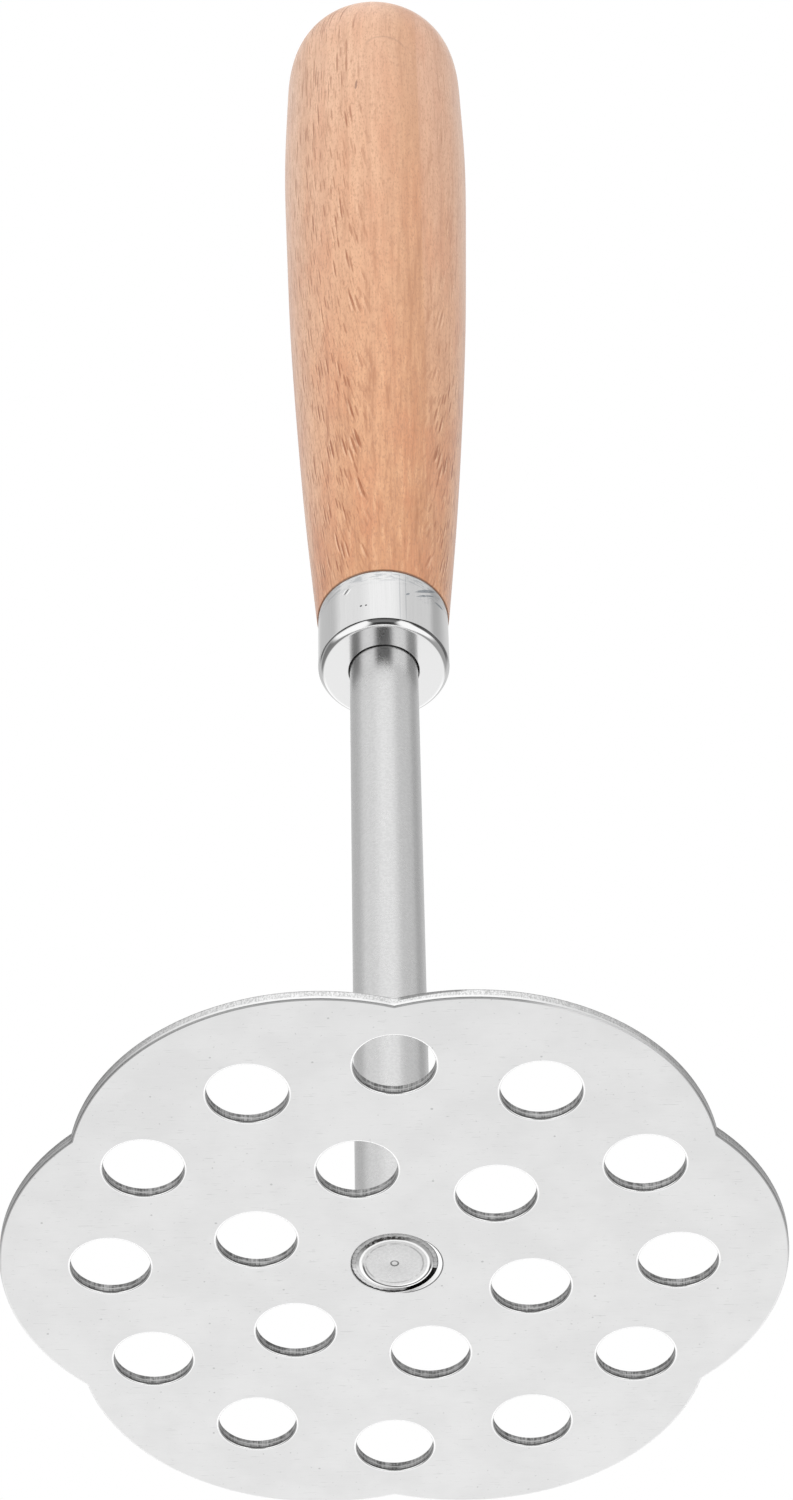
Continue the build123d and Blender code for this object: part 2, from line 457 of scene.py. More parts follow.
def ferrule_material(settings):
    material, make, (x, y, z) = start_material("Polished Ferrule")
    base = settings.base_height / MM
    mouth = settings.mouth_height / MM
    radius = settings.radius / MM
    u = y.math("ARCTAN2", x) * radius
    v = z - base
    on_wall = v.step(0.6, 1.0)

    def marks(strokes):
        """Strokes on the wall, each by its turn in degrees, height, half length, half width and lean."""
        first, *others = [stroke(u, v, (math.radians(turn) * radius, height), *form)
                          for turn, height, *form in strokes]
        return sum(others, first)

    # Knocks and rubbed places, with painted highlights beside the knock
    ding = marks([(-124, 8.6, 0.7, 0.15, 42)])
    painted_ding_glint = marks([(-121.8, 8.3, 0.75, 0.14, 42), (-126.4, 8.8, 0.6, 0.1, 42)])
    specks = marks([(-110, 4.2, 0.2, 0.2, 0), (-105.4, 4.1, 0.18, 0.18, 0)])
    rub_grain = make.noise(u / 0.5, v / 0.25, 0.0, 3.0, 0.7)
    rub = marks([(-49, 9.4, 2.8, 0.32, 53), (-49.5, 8.3, 2.4, 0.18, 53),
                 (-31, 8.75, 1.4, 0.24, 75), (-68, 6.9, 0.45, 0.2, 45)]) * rub_grain.step(0.25, 0.5)
    scuff = marks([(-46, 8.0, 2.6, 1.0, 53)]) * rub_grain.step(0.52, 0.6)
    lines = marks([(-75.5, 6, 6.5, 0.1, 0), (-70, 6, 6.5, 0.1, 0)])

    smudge = make.noise(u / 1.8, v / 0.5, 0.0, 4.0, 0.6)
    near_mouth = v.step(mouth - base - 3.0, mouth - base - 0.8)
    # Darker smudgy patches in a band just below the mouth
    smudged_mouth_band = smudge.step(0.46, 0.6) * near_mouth
    draw_lines = make.noise(u / 0.16, v / 12, 0.0, 3.0, 0.7)
    waves = make.noise(u / 3.5, v / 6, 0.0, 1.0)
    dark = (smudged_mouth_band * 0.45 + rub * 0.85 + scuff * 0.4 + lines * 0.3) * on_wall
    metal = make.paint(settings.metal, [
        (dark.math("MINIMUM", 1.0), srgb(142, 149, 156)),
        ((draw_lines * 0.16 + specks + ding) * on_wall, srgb(70, 70, 72)),
        # Painted highlights beside the knock
        (painted_ding_glint, grey(255)),
    ])
    relief = bump(make, (waves + draw_lines * 0.03) * on_wall, 0.03)
    end_material(make, {
        "Base Color": metal, "Roughness": 0.07 + (smudged_mouth_band + rub) * on_wall * 0.2 + draw_lines * 0.05,
        "Metallic": 1.0, "Normal": relief,
    })
    return material


def bar_material(settings):
    material, make, (x, y, z) = start_material("Turned Steel")
    turning = make.noise(x / 5, y / 5, z / 0.13, 3.0, 0.7)
    cloud = make.noise(x / 2.2, y / 2.2, z / 2.6, 3.0, 0.6)
    grit = make.noise(x / 0.4, y / 0.4, z / 0.3, 2.0, 0.7)
    drawn = make.noise(x / 0.3, y / 0.3, z / 30, 3.0, 0.6)
    grain = turning * 0.15 + drawn * 0.3 + grit.step(0.4, 0.6) * 0.28

    # The lower end: a faint ring, a painted highlight along the face's edge and on the chamfer's open
    # stretch, the edge that the weld burnt, painted shade in the crevice by the weld and along the far edge,
    # and the lathe's mark with painted shade on its rim
    reach = from_axis(x, y) + (cloud - 0.5) * 0.2
    face = z.step(0.5, 0.3)
    ring = reach.band(3.5, 3.62, 3.7, 3.82) * cloud.step(0.38, 0.5)
    # Painted highlight: a white ring along the face's edge
    painted_edge_highlight = reach.band(4.12, 4.24, 4.4, 4.5)
    far = y.step(-0.5, 1.0)
    near_side = towards_front(x, y, reach).step(0.6, 0.95)
    trim = ((x - 0.3) ** 2 + (y - 0.15) ** 2) ** 0.5 + (cloud - 0.5) * 0.15
    # Painted highlight on the open stretch of the chamfer, which the weld left unburnt, and on part of the
    # far edge
    painted_chamfer_highlight = from_opening(x, y).step(34, 26) * reach.step(4.5, 4.6)
    painted_chamfer_highlight = painted_chamfer_highlight.math("MAXIMUM", trim.step(4.36, 4.44) * far * 0.6)
    burnt = reach.step(4.46, 4.56) * z.step(1.6, 1.4) * (1 - painted_chamfer_highlight)
    # Painted shade in the crevice between the weld and the bar, on the near side
    painted_crevice_shade = reach.band(4.4, 4.5, 4.85, 4.95) * near_side * grit.step(0.3, 0.5)
    # Painted shade: a dark line along the face's far edge
    painted_far_edge_shade = trim.band(4.1, 4.2, 4.34, 4.42) * far
    # Painted shade on the rim of the lathe's centre mark
    mark = reach.band(0.3, 0.42, 0.5, 0.62)
    metal = make.paint(settings.metal, [
        (grain, grey(196)),
        ((painted_edge_highlight + painted_chamfer_highlight) * face, grey(255)),
        ((ring * 0.4 + mark * 0.85) * face, grey(84)),
        (burnt, make.mix(grit, grey(150), grey(190))),
        (painted_crevice_shade * face * 0.95, srgb(44, 42, 41)),
        (painted_far_edge_shade * face * 0.9, grey(64)),
    ])
    relief = bump(make, turning + cloud * 0.5 + grit * 0.5, 0.006)
    end_material(make, {
        "Base Color": metal, "Roughness": 0.23 + cloud * 0.1, "Metallic": 1.0,
        "Anisotropic": 0.4, "Anisotropic Rotation": 0.25, "Normal": relief,
    })
    return material


def plate_material(settings):
    material, make, (x, y, z) = start_material("Satin Plate Steel")
    zone = make.node("ShaderNodeAttribute", settings={"attribute_name": "zone"}, output="Fac")

    def in_zone(number):
        return zone.band(number - 0.6, number - 0.4, number + 0.4, number + 0.6)

    in_hole, on_rim, in_hollow = in_zone(HOLE_WALL), in_zone(RIM), in_zone(HOLLOW)
    on_line, in_groove = in_zone(HOLLOW_LINE), in_zone(GROOVE)
    reach = from_axis(x, y)
    shear = make.noise(x / 0.2, y / 0.2, z / 3, 3.0, 0.7)
    tear = make.noise(x / 1.3, y / 1.3, z / 0.5, 2.0, 0.6)
    rolled = make.noise(x / 3.5, y / 0.35, z, 3.0, 0.6)
    cloud = make.noise(x / 11, y / 11, z, 3.0, 0.6)
    pits = make.noise(x / 0.45, y / 0.45, z, 1.0)
    scratches = make.noise(x / 4, y / 0.16, z, 2.0, 0.6) + make.noise(x / 0.9, y / 0.9, z, 1.0) * 0.35
    centre, chance, size = make.scatter(x / 7, y / 7)
    specks = (centre - size * 0.016).step(0.012, 0.002) * chance.step(0.5, 0.52)
    mottle = rolled * 0.1 + cloud.step(0.35, 0.65) * 0.16 + pits.step(0.72, 0.78) * 0.6
    mottle = mottle + scratches.step(0.84, 0.9) * 0.5 + specks * 2.0
    face = make.mix(mottle.math("MINIMUM", 1.0), settings.metal, grey(200))

    # Cut edges: torn metal in the holes with a painted shade line and a painted highlight along their lower
    # edges, and a rim that is ground bright towards the front, with painted shade and highlights on its lips
    # and its left side painted darker
    break_line = (z + tear * 0.5).band(0.88, 0.98, 1.05, 1.2)
    torn = make.paint(grey(190), [
        ((tear * 0.5 + shear * 0.7).step(0.45, 0.75), grey(110)),
        (break_line * (0.1 + 0.8 * shear), grey(228)),
        # Painted shade: a dark band just above the painted highlight at the holes' lower edge
        (z.step(0.42, 0.28), grey(84)),
    ])
    speckle = make.noise(x / 0.22, y / 0.22, z / 0.3, 3.0, 0.7) * 0.7 + shear * 0.3
    speckle = speckle.step(0.38, 0.62)
    rightness, backness = x / reach, y / reach
    ground_share = backness.step(-0.62, -1.0) * (0.7 + 0.3 * tear.step(0.25, 0.4))
    ground = make.mix(speckle, grey(250), grey(204))
    sheared = make.paint(grey(198), [
        (speckle, grey(156)),
        # Painted shade: the sheared edge darker towards the left
        (x.step(20, -45) * 0.5, grey(130)),
        (break_line * 0.5, grey(220)),
    ])
    # A darker patch on the front of the rim, near its upper edge
    front_lip_dark_patch = x.band(0.2, 1.0, 7.5, 9.5) * y.step(-40, -43) * (z - x * 0.03).step(0.75, 0.95)
    # Painted highlight on the lower lip at the right and the back
    painted_lip_highlight = rightness.step(0.3, 0.42) * backness.step(-0.6, -0.75)
    painted_lip_highlight = painted_lip_highlight.math("MAXIMUM", backness.step(-0.2, 0.1))
    rim = make.paint(sheared, [
        (ground_share, ground),
        # Painted shade: a dark line along the upper lip
        (z.step(1.2, 1.36) * 0.5, grey(120)),
        (front_lip_dark_patch * 0.75, grey(112)),
        (z.step(0.6, 0.4) * (0.3 + 0.7 * ground_share), grey(252)),
        # Painted shade along the lower lip, with a painted highlight at the right and the back
        (z.step(0.22, 0.12), make.mix(painted_lip_highlight, grey(182), grey(238))),
    ])

    # Painted highlight along each hole's lower edge. The ground hollow, which is bright metal, gets the same
    # white and low roughness
    edge = in_hole * z.step(0.2, 0.12)
    highlight_and_ground_hollow = edge.math("MAXIMUM", in_hollow)
    metal = make.paint(face, [
        (on_rim, rim),
        (in_hole, torn),
        (highlight_and_ground_hollow, grey(252)),
        # Painted shade: a dark line along the hollow's outer edge
        (on_line, grey(120)),
        # Painted shade in the open stretch of the groove beside the bar, mid grey where the weld covers it
        (in_groove, make.mix(from_opening(x, y).step(34, 27), grey(120), srgb(46, 44, 43))),
    ])
    on_top = z.step(1.3, 1.4)
    rough = 0.36 + rolled * 0.06 + in_hole * 0.12 + on_top * 0.16
    rough = make.blend(highlight_and_ground_hollow, rough, 0.16)
    relief = bump(make, rolled * (1 - in_hole) + (in_hole + on_rim) * (1 - edge) * shear * 6, 0.003)
    end_material(make, {
        "Base Color": metal, "Roughness": rough, "Metallic": 1.0, "Normal": relief,
    })
    return material


def weld_material(settings):
    material, make, (x, y, z) = start_material("Weld Metal")
    grain = make.noise(x / 0.2, y / 0.2, z / 0.2, 3.0, 0.6)
    tint = make.noise(x / 1.5, y / 1.5, z / 1.5)
    reach = from_axis(x, y)
    in_groove = z.step(1.4, 1.2)
    near_side = towards_front(x, y, reach).step(0.5, 0.9)
    # Painted shade in the crevice between the bead and the bar, on the near side
    inner = reach.step(5.0, 4.8) * in_groove * near_side * grain.step(0.3, 0.5)
    ground_turn = math.radians(137)
    ground = (x * math.cos(ground_turn) + y * math.sin(ground_turn)) / reach
    ground = (ground + tint * 0.4).step(0.92, 1.12) * in_groove
    metal = make.paint(settings.metal, [
        (tint.step(0.4, 0.7) * 0.4, grey(150)),
        (grain.step(0.55, 0.35) * 0.3, grey(110)),
        ((y / reach).step(0.8, 0.95) * in_groove * 0.6, grey(132)),
        (ground * 0.8, grey(236)),
        (inner * (1 - ground * 0.7), srgb(44, 42, 41)),
    ])
    end_material(make, {
        "Base Color": metal, "Roughness": 0.3 + grain * 0.25, "Metallic": 1.0,
        "Normal": bump(make, grain, 0.02),
    })
    return material


def glue_material():
    material, make, (x, y, z) = start_material("Set Glue")
    streak = make.noise(x / 2, y / 2, z / 6)
    amber = make.paint(srgb(214, 190, 140), [
        (streak, srgb(180, 150, 98)),
        (z.step(118, 116) * 0.9, srgb(50, 47, 45)),
    ])
    end_material(make, {
        "Base Color": amber, "Roughness": 0.3 + streak * 0.2, "Normal": bump(make, streak, 0.05),
    })
    return material


def arc(centre, radius, start, end, steps):
    """Points on an arc in the profile's plane, from one angle to another, in degrees."""
    angles = [math.radians(start + (end - start) * i / steps) for i in range(steps + 1)]
    return [(centre[0] + radius * math.cos(a), centre[1] + radius * math.sin(a)) for a in angles]


def smooth_curve(knots, start_slope, end_slope, steps):
    """Points on a cubic spline through the knots that starts and ends in the given directions."""
    knots = np.array(knots)
    chords = np.diff(knots, axis=0)
    spans = np.linalg.norm(chords, axis=1)
    count = len(knots)
    system = np.eye(count)
    slopes = np.zeros((count, 2))
    slopes[0] = np.array(start_slope) / np.linalg.norm(start_slope)
    slopes[-1] = np.array(end_slope) / np.linalg.norm(end_slope)
    for i in range(1, count - 1):
        before, after = spans[i - 1], spans[i]
        system[i, i - 1:i + 2] = after, 2 * (before + after), before
        slopes[i] = 3 * (after * chords[i - 1] / before + before * chords[i] / after)
    slopes = np.linalg.solve(system, slopes)
    points = []
    for i in range(count - 1):
        for t in np.arange(steps) / steps:
            start_part = (1 + 2 * t) * (1 - t) ** 2 * knots[i] + t * (1 - t) ** 2 * spans[i] * slopes[i]
            end_part = t ** 2 * (3 - 2 * t) * knots[i + 1] + t ** 2 * (t - 1) * spans[i] * slopes[i + 1]
            points.append(tuple(start_part + end_part))
    return points + [tuple(knots[-1])]


def whole_turn(steps):
    """Angles at even steps all round."""
    return [2 * math.pi * i / steps for i in range(steps)]


def add_point(build, turn, radius, height):
    return build.verts.new((radius * math.cos(turn), radius * math.sin(turn), height))


def add_object(name, data):
    added = bpy.data.objects.new(name, data)
    bpy.context.scene.collection.objects.link(added)
    return added


def finish_piece(name, build, material, node):
    """Makes the built faces a shaded piece of the object that stands for a CAD node."""
    bmesh.ops.remove_doubles(build, verts=build.verts, dist=MERGE_DISTANCE)
    bmesh.ops.recalc_face_normals(build, faces=build.faces)
    mesh = bpy.data.meshes.new(name)
    build.to_mesh(mesh)
    build.free()
    # Clearing also moves every face to the first slot. The plate's nodes leave theirs on the second
    mesh.materials.clear()
    mesh.materials.append(material)
    mesh.shade_smooth()
    mesh.set_sharp_from_angle(angle=HARD_EDGE_ANGLE)
    piece = add_object(name, mesh)
    weighted = piece.modifiers.new("Weighted Normal", "WEIGHTED_NORMAL")
    weighted.keep_sharp = True
    apply_modifiers(piece)
    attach(piece, BODY)
    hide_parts(node)


def apply_modifiers(piece):
    """Makes the piece a plain mesh with what its modifiers give."""
    depsgraph = bpy.context.evaluated_depsgraph_get()
    old_mesh = piece.data
    piece.data = bpy.data.meshes.new_from_object(piece.evaluated_get(depsgraph), depsgraph=depsgraph,
                                                 preserve_all_data_layers=True)
    piece.modifiers.clear()
    piece.data.name = piece.name
    if old_mesh.users == 0:
        bpy.data.meshes.remove(old_mesh)


def handle_profile(s):
    """The handle's closed section, from the bore's end down to the neck and up its outline to the crown."""
    flank_shares = [(0.2, 0.335), (0.4, 0.6), (0.6, 0.808), (0.8, 0.933)]
    crown_shares = [(0.976, 0.45), (0.94, 0.68), (0.838, 0.818), (0.66, 0.904), (0.44, 0.96)]
    neck_slope, crown_slope = (0.075, 1), (-1, 0)
    rise = s.grip_height - s.neck_height
    swell = s.grip_radius - s.neck_radius
    dome = s.crown_height - s.grip_height
    knots = [(s.neck_radius, s.neck_height)]
    knots += [(s.neck_radius + r * swell, s.neck_height + h * rise) for h, r in flank_shares]
    knots += [(s.grip_radius, s.grip_height)]
    knots += [(r * s.grip_radius, s.grip_height + h * dome) for r, h in crown_shares]
    knots += [(0, s.crown_height)]
    outline = smooth_curve(knots, neck_slope, crown_slope, 12)
    outline = [point for point in outline if point[1] > s.neck_height + s.neck_edge]
    neck_corner = (s.neck_radius - s.neck_edge, s.neck_height + s.neck_edge)
    tenon_gap = 1.3 * MM
    tenon_base = ferrule_low.z + tenon_gap
    return [
        (0, s.neck_height + s.bore_depth),
        (s.bore_radius, s.neck_height + s.bore_depth),
        (s.bore_radius, tenon_base),
        (s.tenon_radius - s.tenon_chamfer, tenon_base),
        (s.tenon_radius, tenon_base + s.tenon_chamfer),
        (s.tenon_radius, s.neck_height),
        *arc(neck_corner, s.neck_edge, -90, 0, 4),
        *outline,
    ]


def ferrule_profile(s):
    """The drawn cup's closed section, from the hole's edge round the inside and back over the wall."""
    inner = s.radius - s.wall
    start, end = math.degrees(s.shoulder_start), math.degrees(s.shoulder_end)
    difference = s.shoulder_round - s.edge_round
    wall_reach = s.radius - s.shoulder_round * math.cos(s.shoulder_start)
    edge_centre = (wall_reach + difference * math.cos(s.shoulder_end), s.base_height + s.edge_round)
    shoulder_centre = (edge_centre[0] - difference * math.cos(s.shoulder_end),
                       edge_centre[1] + difference * math.sin(s.shoulder_end))
    return [
        *arc((s.bore_radius + s.bore_round, s.base_height + s.bore_round), s.bore_round, -90, -180, 4),
        (s.bore_radius, s.base_height + s.wall),
        (inner, s.base_height + s.wall),
        (inner, s.mouth_height),
        *arc((s.radius - s.mouth_round, s.mouth_height - s.mouth_round), s.mouth_round, 90, 0, 4),
        *arc(shoulder_centre, s.shoulder_round, -start, -end, 6)[:-1],
        *arc(edge_centre, s.edge_round, -end, -90, 12),
    ]


def bar_profile(s):
    """The bar's section, from the centre mark in its foot to the end of its tang."""
    return [
        (0, s.mark_depth),
        (s.mark_radius, 0),
        (s.radius - s.foot_chamfer, 0),
        (s.radius - 0.1 * s.foot_chamfer, 0.25 * s.foot_chamfer),
        (s.radius, 0.7 * s.foot_chamfer),
        (s.radius, s.end_height - s.tang_chamfer),
        (s.radius - s.tang_chamfer, s.end_height),
        (0, s.end_height),
    ]


def turned_piece(name, profile, material, node):
    """Turns (radius, height) points round Z. They close to a ring unless the first is on the axis."""
    build = bmesh.new()
    rings = []
    for radius, height in profile:
        turns = [0] if radius < MERGE_DISTANCE else whole_turn(LATHE_SEGMENTS)
        rings.append([add_point(build, turn, radius, height) for turn in turns])
    joined = list(zip(rings, rings[1:]))
    if len(rings[0]) > 1:
        joined.append((rings[-1], rings[0]))
    for lower, upper in joined:
        for i in range(LATHE_SEGMENTS):
            j = (i + 1) % LATHE_SEGMENTS
            corners = [lower[i % len(lower)], lower[j % len(lower)]]
            corners += [upper[j % len(upper)], upper[i % len(upper)]]
            build.faces.new(list(dict.fromkeys(corners)))
    finish_piece(name, build, material, node)


def plate_tree(s, metal):
    """Geometry nodes of the pierced plate, and each input's identifier and value."""
    tree = bpy.data.node_groups.new("Pierced Plate", "GeometryNodeTree")
    tree.interface.new_socket("Geometry", in_out="OUTPUT", socket_type="NodeSocketGeometry")
    inputs = {
        "Tip Radius": s.tip_radius, "Lobe Radius": s.lobe_radius, "Lobes": s.lobe_count,
        "Thickness": s.thickness, "Rim Round": s.rim_round, "Rim Spread": s.rim_spread,
        "Hole Radius": s.hole_radius, "Hole Round": s.hole_round, "Hole Spread": s.hole_spread,
        "Outer Ring": s.outer_ring, "Outer Holes": s.outer_count, "Inner Ring": s.inner_ring,
        "Inner Holes": s.inner_count, "Inner Turn": s.inner_turn, "Collar Radius": COLLAR_RADIUS,
        "Metal": metal,
    }
    kinds = {int: "NodeSocketInt", float: "NodeSocketFloat"}
    values = {}
    for name, value in inputs.items():
        kind = kinds.get(type(value), "NodeSocketMaterial")
        socket = tree.interface.new_socket(name, in_out="INPUT", socket_type=kind)
        values[socket.identifier] = value
    make = NodeMaker(tree)

    def size(name):
        return make.node("NodeGroupInput", output=name)

    def outline_radius(turn, lobe_radius):
        """Distance from the centre to the lobes' outline in that direction."""
        lobe_turn = 2 * math.pi / size("Lobes")
        offset = size("Tip Radius") - size("Lobe Radius")
        bend = (turn + lobe_turn / 2).math("FLOORED_MODULO", lobe_turn) - lobe_turn / 2
        sine = offset * bend.math("SINE")
        reach = (lobe_radius * lobe_radius - sine * sine) ** 0.5
        return offset * bend.math("COSINE") + reach

    def rim_radius(turn, draw_in):
        return outline_radius(turn, size("Lobe Radius") - draw_in * size("Rim Spread"))

    def hole_radius(turn, draw_in):
        return size("Hole Radius") + draw_in * size("Hole Spread")

    def polar(turn, radius, height):
        return make.vector(radius * turn.math("COSINE"), radius * turn.math("SINE"), height)

    def edge_wall(steps, edge_round, radius_at):
        """A wall all round with rounded edges. radius_at gives its radius from turn and draw-in."""
        grid = make.node("GeometryNodeMeshGrid",
                         {"Size X": 1.0, "Size Y": 1.0, "Vertices X": steps + 1, "Vertices Y": EDGE_ROWS})
        u, v, _ = make.axes(make.node("GeometryNodeInputPosition"))
        turn = (u + 0.5) * (2 * math.pi)
        first = 1 / (EDGE_ROWS - 1)
        side = v.math("SIGN")
        lean = (abs(v) * 2 - first) * (math.pi / 2 / (1 - first))
        draw_in = edge_round * (1 - lean.math("COSINE"))
        half = size("Thickness") / 2
        height = half + side * (half - edge_round + edge_round * lean.math("SINE"))
        place = polar(turn, radius_at(turn, draw_in), height)
        return make.node("GeometryNodeSetPosition", {"Geometry": grid, "Position": place})

    def with_zone(geometry, zone):
        inputs = {"Geometry": geometry, "Name": "zone", "Value": zone}
        settings = {"data_type": "FLOAT", "domain": "FACE"}
        return make.node("GeometryNodeStoreNamedAttribute", inputs, settings)

    def circle(steps, radius):
        sizes = {"Resolution": steps, "Radius": radius}
        return make.node("GeometryNodeCurvePrimitiveCircle", sizes, {"mode": "RADIUS"})

    def on_rings(shape):
        """The shape once at each hole's centre."""
        outer = circle(size("Outer Holes"), size("Outer Ring"))
        inner = circle(size("Inner Holes"), size("Inner Ring"))
        inner = make.node("GeometryNodeTransform",
                          {"Geometry": inner, "Rotation": make.vector(0.0, 0.0, size("Inner Turn"))})
        centres = make.node("GeometryNodeJoinGeometry", {0: [outer, inner]})
        copies = make.node("GeometryNodeInstanceOnPoints", {"Points": centres, "Instance": shape})
        return make.node("GeometryNodeRealizeInstances", {0: copies})

    # Walls of the outline and of the holes
    rim = edge_wall(OUTLINE_STEPS, size("Rim Round"), rim_radius)
    hole = edge_wall(HOLE_STEPS, size("Hole Round"), hole_radius)
    hole = make.node("GeometryNodeFlipFaces", {0: hole})

    # Flat faces between them
    turn = make.node("GeometryNodeInputIndex") * (2 * math.pi / OUTLINE_STEPS)
    place = polar(turn, rim_radius(turn, size("Rim Round")), 0.0)
    outline = make.node("GeometryNodeSetPosition",
                        {"Geometry": circle(OUTLINE_STEPS, 1.0), "Position": place})
    holes = on_rings(circle(HOLE_STEPS, hole_radius(turn, size("Hole Round"))))
    middle = circle(COLLAR_STEPS, size("Collar Radius"))
    edges = make.node("GeometryNodeJoinGeometry", {0: [outline, holes, middle]})
    upper = make.node("GeometryNodeFillCurve", {"Curve": edges})
    lower = make.node("GeometryNodeFlipFaces", {0: upper})
    upper = make.node("GeometryNodeTransform",
                      {"Geometry": upper, "Translation": make.vector(0.0, 0.0, size("Thickness"))})

    faces = make.node("GeometryNodeJoinGeometry", {0: [
        with_zone(lower, FLAT), with_zone(upper, FLAT),
        with_zone(on_rings(hole), HOLE_WALL), with_zone(rim, RIM),
    ]})
    whole = make.node("GeometryNodeMergeByDistance", {"Geometry": faces, "Distance": MERGE_DISTANCE})
    whole = make.node("GeometryNodeRealizeInstances", {0: whole})
    whole = make.node("GeometryNodeSetMaterial", {"Geometry": whole, "Material": size("Metal")})
    make.node("NodeGroupOutput", {0: whole})
    return tree, values


def add_collar(build, s):
    """Closes the plate from the flat faces to the bar's hole, with the ground hollow beside the weld."""
    zone = build.faces.layers.float["zone"]
    hole_radius = bar_high.x + s.bar_gap
    hollow_middle, hollow_half = math.radians(18), math.radians(66)
    line_width = 0.16 * MM
    rings = []
    for turn in whole_turn(COLLAR_STEPS):
        away = abs((turn - hollow_middle + math.pi) % (2 * math.pi) - math.pi) / hollow_half
        hollow = math.cos(min(away, 1) * math.pi / 2) ** 0.7
        width = (0.08 + 0.62 * hollow) * MM
        depth = (0.04 + 0.13 * hollow) * MM
        section = [
            (COLLAR_RADIUS, 0),
            (hole_radius + width, 0),
            (hole_radius + width - min(line_width, 0.4 * width), 0.1 * depth),
            (hole_radius + 0.4 * width, 0.55 * depth),
            (hole_radius, depth),
            (hole_radius, s.thickness),
            (COLLAR_RADIUS, s.thickness),
        ]
        rings.append([add_point(build, turn, radius, height) for radius, height in section])
    zones = [FLAT, HOLLOW_LINE, HOLLOW, HOLLOW, GROOVE, FLAT]
    for left, right in zip(rings, rings[1:] + rings[:1]):
        for k, number in enumerate(zones):
            face = build.faces.new((left[k], right[k], right[k + 1], left[k + 1]))
            face[zone] = number


def weld_ring(build, turns, section_at, closed):
    """Sweeps a closed section round the bar. section_at gives its (radius, height) points at each turn."""
    rings = []
    for turn in turns:
        rings.append([add_point(build, turn, radius, height) for radius, height in section_at(turn)])
    pairs = list(zip(rings, rings[1:]))
    if closed:
        pairs.append((rings[-1], rings[0]))
    for left, right in pairs:
        for k in range(len(left)):
            m = (k + 1) % len(left)
            build.faces.new((left[k], right[k], right[m], left[m]))
    if not closed:
        build.faces.new(rings[0])
        build.faces.new(rings[-1])


def ripple(turn, count, height):
    """The even ripples that a weld pool leaves, a little irregular."""
    even = math.sin(count * turn) + 0.4 * math.sin(2.3 * count * turn + 1)
    return height * (even + 0.5 * math.sin(7 * turn))


class MASHER_OT_handle(bpy.types.Operator):
    """Turn the beech handle"""
    bl_idname = "masher.handle"
    bl_label = "Handle"

    def execute(self, context):
        s = context.scene.masher_handle
        turned_piece("beech_handle", handle_profile(s), beech_material(s), "handle")
        return {"FINISHED"}


class MASHER_OT_ferrule(bpy.types.Operator):
    """Draw the ferrule cup"""
    bl_idname = "masher.ferrule"
    bl_label = "Ferrule"

    def execute(self, context):
        s = context.scene.masher_ferrule
        turned_piece("ferrule_cup", ferrule_profile(s), ferrule_material(s), "ferrule")
        return {"FINISHED"}


class MASHER_OT_bar(bpy.types.Operator):
    """Turn the round bar"""
    bl_idname = "masher.bar"
    bl_label = "Bar"

    def execute(self, context):
        s = context.scene.masher_bar
        turned_piece("round_bar", bar_profile(s), bar_material(s), "shaft")
        return {"FINISHED"}


class MASHER_OT_plate(bpy.types.Operator):
    """Punch the mashing plate"""
    bl_idname = "masher.plate"
    bl_label = "Plate"

    def execute(self, context):
        s = context.scene.masher_plate
        metal = plate_material(s)
        tree, values = plate_tree(s, metal)
        sketch = add_object("plate_sketch", bpy.data.meshes.new("plate_sketch"))
        nodes = sketch.modifiers.new("Pierced Plate", "NODES")
        nodes.node_group = tree
        for identifier, value in values.items():
            nodes[identifier] = value
        apply_modifiers(sketch)
        if not sketch.data.polygons:
            raise RuntimeError("the plate's nodes gave no faces")
        build = bmesh.new()
        build.from_mesh(sketch.data)
        bpy.data.objects.remove(sketch)
        add_collar(build, s)
        finish_piece("pierced_plate", build, metal, "mashing_plate")
        return {"FINISHED"}


